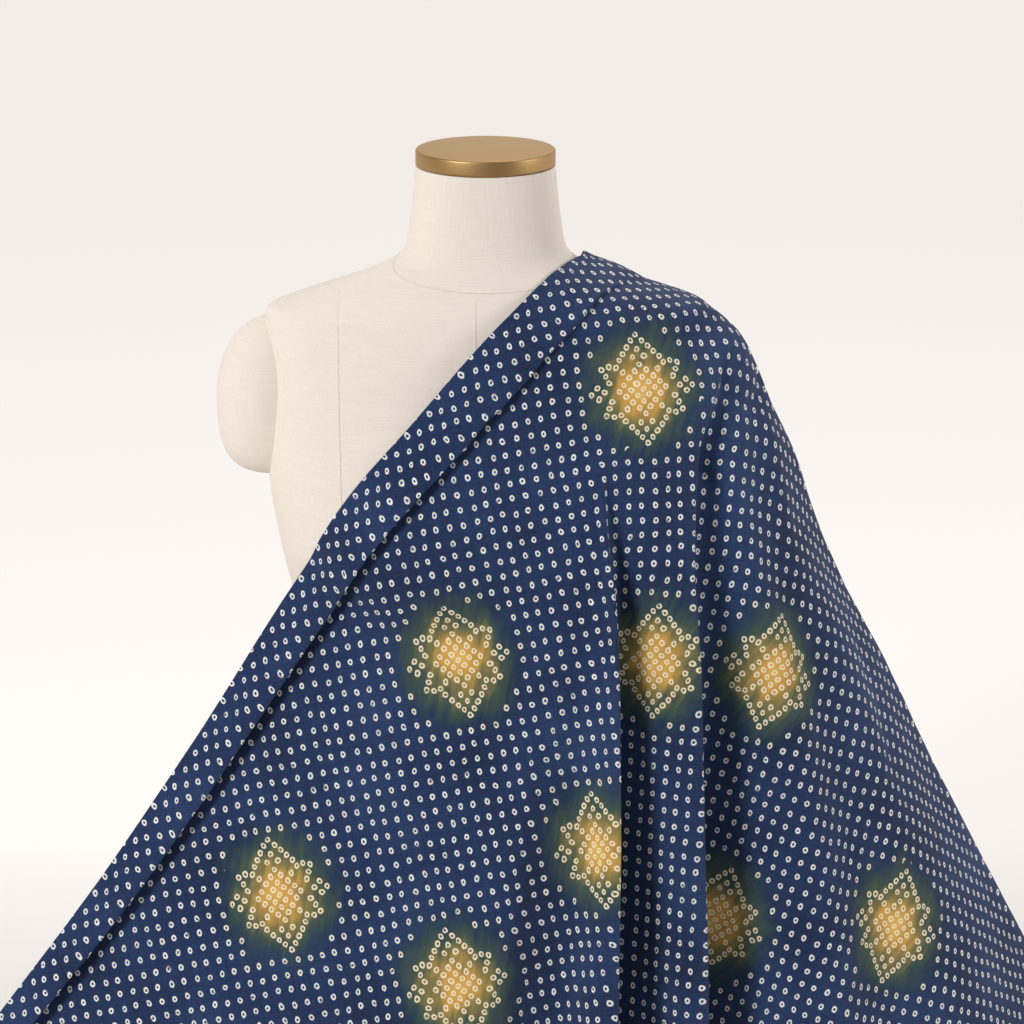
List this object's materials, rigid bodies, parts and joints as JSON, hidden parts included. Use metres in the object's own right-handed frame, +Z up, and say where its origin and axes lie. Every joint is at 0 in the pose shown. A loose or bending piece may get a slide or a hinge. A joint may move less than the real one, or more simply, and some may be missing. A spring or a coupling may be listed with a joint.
{
  "type": "printed cotton cloth draped on a dress form",
  "caption": "Indigo cotton cloth with a tie-dyed print of rings and star medallions, draped over one shoulder of a plain headless dress form.",
  "frame": {"origin": "middle of the dress form's flat base, on the surface that it stands on", "axes": "+Z up; +X to the viewer's right, towards the draped shoulder; +Y away from the viewer"},
  "size_m": [0.9531, 0.3787, 0.757],
  "materials": {
    "linen": "unbleached plain-weave linen, matte",
    "brass": "brushed and satin",
    "cotton": "indigo-dyed plain-weave cotton, matte"
  },
  "bodies": {
    "root": {"form_body": "linen", "arm_left": "linen", "arm_right": "linen", "neck_cap": "brass", "cloth": "cotton"}
  },
  "joints": []
}
